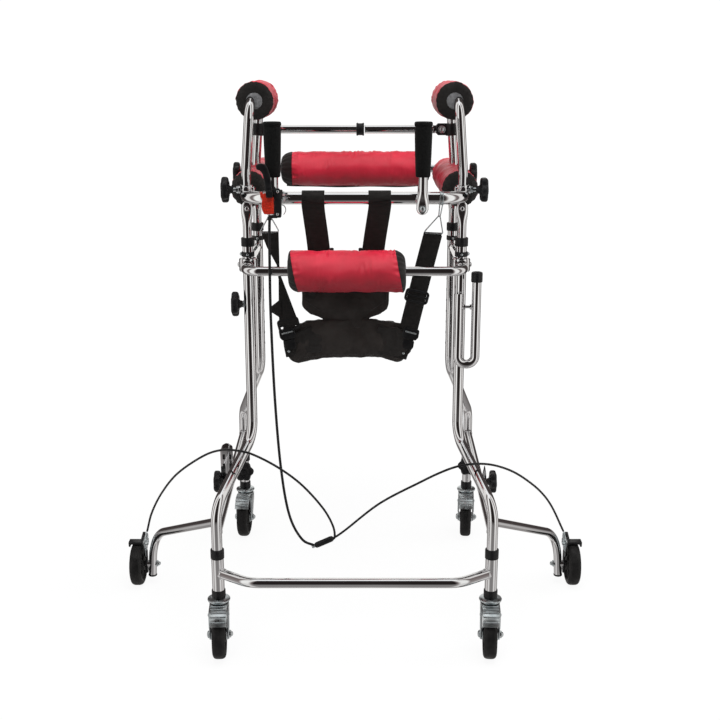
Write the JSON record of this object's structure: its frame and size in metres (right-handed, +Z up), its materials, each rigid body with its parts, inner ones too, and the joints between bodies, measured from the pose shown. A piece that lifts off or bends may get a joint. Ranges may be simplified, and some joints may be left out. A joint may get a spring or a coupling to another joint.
{
  "type": "front wheeled walker",
  "caption": "Gait-training walker: chromed tube frame on braked swivel casters and outrigger wheels, with padded rails, underarm rollers, hand grips and a sling seat.",
  "frame": {"origin": "on the floor, midway between the two side frames and between the front and rear casters", "axes": "+Z up, +Y from the front crossbar to the open rear, +X to the right seen from the front"},
  "size_m": [1.054, 0.73, 1.1475],
  "materials": {
    "chrome": "polished",
    "zinc": "bright zinc plate",
    "rubber": "matte moulded rubber",
    "plastic": "fine grain",
    "foam": "soft foam",
    "red_fabric": "coated nylon, slight sheen",
    "black_fabric": "woven nylon",
    "red_plastic": "gloss"
  },
  "bodies": {
    "base": {"side_frame_left": "chrome", "side_frame_right": "chrome", "front_cross_frame": "chrome", "front_pad_bar": "chrome", "front_pad": "red_fabric", "crutch_holder": "chrome", "outrigger_arm_left": "chrome", "outrigger_arm_right": "chrome"},
    "front_left_swivel": {"front_left_caster_fork": "zinc"},
    "front_left_pedal": {"front_left_caster_pedal": "zinc"},
    "front_left_wheel": {"front_left_caster_wheel": "rubber"},
    "rear_left_swivel": {"rear_left_caster_fork": "zinc"},
    "rear_left_pedal": {"rear_left_caster_pedal": "zinc"},
    "rear_left_wheel": {"rear_left_caster_wheel": "rubber"},
    "front_right_swivel": {"front_right_caster_fork": "zinc"},
    "front_right_pedal": {"front_right_caster_pedal": "zinc"},
    "front_right_wheel": {"front_right_caster_wheel": "rubber"},
    "rear_right_swivel": {"rear_right_caster_fork": "zinc"},
    "rear_right_pedal": {"rear_right_caster_pedal": "zinc"},
    "rear_right_wheel": {"rear_right_caster_wheel": "rubber"},
    "outrigger_wheel_left": {"outrigger_wheel_left": "rubber"},
    "brake_shoe_left": {"brake_shoe_left": "plastic"},
    "outrigger_wheel_right": {"outrigger_wheel_right": "rubber"},
    "brake_shoe_right": {"brake_shoe_right": "plastic"},
    "upper_frame": {"upper_u_bar": "chrome", "front_post_left": "chrome", "front_post_right": "chrome", "rear_post_left": "chrome", "rear_post_right": "chrome", "side_pad_left": "red_fabric", "side_pad_right": "red_fabric", "sling_seat": "black_fabric", "sling_strap_left": "black_fabric", "sling_strap_right": "black_fabric"},
    "rear_gate": {"back_bar": "chrome", "back_pad": "red_fabric"},
    "underarm_frame": {"underarm_support_left": "chrome", "underarm_support_right": "chrome", "underarm_roller_left": "red_fabric", "underarm_roller_right": "red_fabric", "crossbar_clamp_left": "plastic", "crossbar_clamp_right": "plastic"},
    "crossbar_left": {"upper_crossbar_left": "chrome"},
    "crossbar_right": {"upper_crossbar_right": "chrome"},
    "crossbar_sleeve": {"crossbar_sleeve": "plastic"},
    "left_grip": {"grip_stem_left": "chrome", "hand_grip_left": "foam"},
    "right_grip": {"grip_stem_right": "chrome", "hand_grip_right": "foam"},
    "brake_lever": {"brake_lever": "plastic"},
    "parking_lock": {"parking_lock": "red_plastic"},
    "upper_front_knob_left": {"upper_front_knob_left": "plastic"},
    "upper_rear_knob_left": {"upper_rear_knob_left": "plastic"},
    "rear_leg_knob_left": {"rear_leg_knob_left": "plastic"},
    "side_rail_knob_left": {"side_rail_knob_left": "plastic"},
    "upper_front_knob_right": {"upper_front_knob_right": "plastic"},
    "upper_rear_knob_right": {"upper_rear_knob_right": "plastic"},
    "rear_leg_knob_right": {"rear_leg_knob_right": "plastic"},
    "side_rail_knob_right": {"side_rail_knob_right": "plastic"},
    "front_upright_knob": {"front_upright_knob": "plastic"}
  },
  "joints": [
    {"name": "front_left_swivel", "type": "hinge", "parent": "base", "child": "front_left_swivel", "pos_m": [-0.279, -0.286, 0.14], "axis": [0, 0, 1], "continuous": true},
    {"name": "front_left_wheel_spin", "type": "hinge", "parent": "front_left_swivel", "child": "front_left_wheel", "pos_m": [-0.27747, -0.30795, 0.05], "axis": [0.9976, 0.0698, 0], "continuous": true},
    {"name": "front_left_pedal_press", "type": "hinge", "parent": "front_left_swivel", "child": "front_left_pedal", "pos_m": [-0.27712, -0.31293, 0.111], "axis": [0.9976, 0.0698, 0], "range_deg": [0, 6]},
    {"name": "rear_left_swivel", "type": "hinge", "parent": "base", "child": "rear_left_swivel", "pos_m": [-0.286, 0.329, 0.14], "axis": [0, 0, 1], "continuous": true},
    {"name": "rear_left_wheel_spin", "type": "hinge", "parent": "rear_left_swivel", "child": "rear_left_wheel", "pos_m": [-0.28753, 0.30705, 0.05], "axis": [0.9976, -0.0698, 0], "continuous": true},
    {"name": "rear_left_pedal_press", "type": "hinge", "parent": "rear_left_swivel", "child": "rear_left_pedal", "pos_m": [-0.28788, 0.30207, 0.111], "axis": [0.9976, -0.0698, 0], "range_deg": [0, 6]},
    {"name": "front_right_swivel", "type": "hinge", "parent": "base", "child": "front_right_swivel", "pos_m": [0.279, -0.286, 0.14], "axis": [0, 0, 1], "continuous": true},
    {"name": "front_right_wheel_spin", "type": "hinge", "parent": "front_right_swivel", "child": "front_right_wheel", "pos_m": [0.27747, -0.30795, 0.05], "axis": [0.9976, -0.0698, 0], "continuous": true},
    {"name": "front_right_pedal_press", "type": "hinge", "parent": "front_right_swivel", "child": "front_right_pedal", "pos_m": [0.27712, -0.31293, 0.111], "axis": [0.9976, -0.0698, 0], "range_deg": [0, 6]},
    {"name": "rear_right_swivel", "type": "hinge", "parent": "base", "child": "rear_right_swivel", "pos_m": [0.286, 0.329, 0.14], "axis": [0, 0, 1], "continuous": true},
    {"name": "rear_right_wheel_spin", "type": "hinge", "parent": "rear_right_swivel", "child": "rear_right_wheel", "pos_m": [0.28408, 0.30708, 0.05], "axis": [0.9962, -0.0872, 0], "continuous": true},
    {"name": "rear_right_pedal_press", "type": "hinge", "parent": "rear_right_swivel", "child": "rear_right_pedal", "pos_m": [0.28365, 0.3021, 0.111], "axis": [0.9962, -0.0872, 0], "range_deg": [0, 6]},
    {"name": "outrigger_left_spin", "type": "hinge", "parent": "base", "child": "outrigger_wheel_left", "pos_m": [-0.508, 0.027, 0.05], "axis": [1, 0, 0], "continuous": true},
    {"name": "brake_shoe_left_press", "type": "hinge", "parent": "base", "child": "brake_shoe_left", "pos_m": [-0.496, 0.053, 0.112], "axis": [1, 0, 0], "range_deg": [0, 4]},
    {"name": "outrigger_right_spin", "type": "hinge", "parent": "base", "child": "outrigger_wheel_right", "pos_m": [0.508, 0.027, 0.05], "axis": [1, 0, 0], "continuous": true},
    {"name": "brake_shoe_right_press", "type": "hinge", "parent": "base", "child": "brake_shoe_right", "pos_m": [0.496, 0.053, 0.112], "axis": [1, 0, 0], "range_deg": [0, 4]},
    {"name": "height_slide", "type": "slide", "parent": "base", "child": "upper_frame", "axis": [0, 0, 1], "range_m": [0, 0.12]},
    {"name": "rear_gate_swing", "type": "hinge", "parent": "upper_frame", "child": "rear_gate", "pos_m": [-0.219, 0.329, 0.939], "axis": [0, 0, 1], "range_deg": [0, 100]},
    {"name": "underarm_slide", "type": "slide", "parent": "upper_frame", "child": "underarm_frame", "axis": [0, 0, 1], "range_m": [0, 0.035]},
    {"name": "crossbar_left_lift", "type": "hinge", "parent": "underarm_frame", "child": "crossbar_left", "pos_m": [-0.19, 0.119, 1.043], "axis": [0, -1, 0], "range_deg": [0, 85]},
    {"name": "crossbar_right_lift", "type": "hinge", "parent": "underarm_frame", "child": "crossbar_right", "pos_m": [0.19, 0.119, 1.043], "axis": [0, 1, 0], "range_deg": [0, 85]},
    {"name": "crossbar_sleeve_slide", "type": "slide", "parent": "crossbar_left", "child": "crossbar_sleeve", "axis": [-1, 0, 0], "range_m": [0, 0.06]},
    {"name": "left_grip_tilt", "type": "hinge", "parent": "upper_frame", "child": "left_grip", "pos_m": [-0.159, -0.178, 0.905], "axis": [0, 1, 0], "range_deg": [-12, 12]},
    {"name": "right_grip_tilt", "type": "hinge", "parent": "upper_frame", "child": "right_grip", "pos_m": [0.134, -0.178, 0.905], "axis": [0, 1, 0], "range_deg": [-12, 12]},
    {"name": "brake_lever_pull", "type": "hinge", "parent": "left_grip", "child": "brake_lever", "pos_m": [-0.164, -0.205, 0.936], "axis": [0, 1, 0], "range_deg": [0, 12]},
    {"name": "parking_lock_turn", "type": "hinge", "parent": "left_grip", "child": "parking_lock", "pos_m": [-0.166, -0.1965, 0.93], "axis": [0, 1, 0], "range_deg": [0, 25]},
    {"name": "upper_front_knob_left_turn", "type": "hinge", "parent": "upper_frame", "child": "upper_front_knob_left", "pos_m": [-0.2334, -0.107, 0.935], "axis": [1, 0, 0], "continuous": true},
    {"name": "upper_rear_knob_left_turn", "type": "hinge", "parent": "upper_frame", "child": "upper_rear_knob_left", "pos_m": [-0.2334, 0.119, 0.946], "axis": [1, 0, 0], "continuous": true},
    {"name": "rear_leg_knob_left_turn", "type": "hinge", "parent": "base", "child": "rear_leg_knob_left", "pos_m": [-0.286, 0.3176, 0.178], "axis": [0, 1, 0], "continuous": true},
    {"name": "side_rail_knob_left_turn", "type": "hinge", "parent": "base", "child": "side_rail_knob_left", "pos_m": [-0.294, 0.023, 0.256], "axis": [1, 0, 0], "continuous": true},
    {"name": "upper_front_knob_right_turn", "type": "hinge", "parent": "upper_frame", "child": "upper_front_knob_right", "pos_m": [0.2334, -0.107, 0.935], "axis": [1, 0, 0], "continuous": true},
    {"name": "upper_rear_knob_right_turn", "type": "hinge", "parent": "upper_frame", "child": "upper_rear_knob_right", "pos_m": [0.2334, 0.119, 0.946], "axis": [1, 0, 0], "continuous": true},
    {"name": "rear_leg_knob_right_turn", "type": "hinge", "parent": "base", "child": "rear_leg_knob_right", "pos_m": [0.286, 0.3176, 0.194], "axis": [0, 1, 0], "continuous": true},
    {"name": "side_rail_knob_right_turn", "type": "hinge", "parent": "base", "child": "side_rail_knob_right", "pos_m": [0.294, 0.023, 0.256], "axis": [1, 0, 0], "continuous": true},
    {"name": "front_upright_knob_turn", "type": "hinge", "parent": "base", "child": "front_upright_knob", "pos_m": [-0.2304, -0.107, 0.699], "axis": [1, 0, 0], "continuous": true}
  ],
  "couplings": [
    {"joint": "crossbar_right_lift", "follows": "crossbar_left_lift", "ratio": 1},
    {"joint": "brake_shoe_left_press", "follows": "brake_lever_pull", "ratio": 0.3333},
    {"joint": "brake_shoe_right_press", "follows": "brake_lever_pull", "ratio": 0.3333}
  ]
}
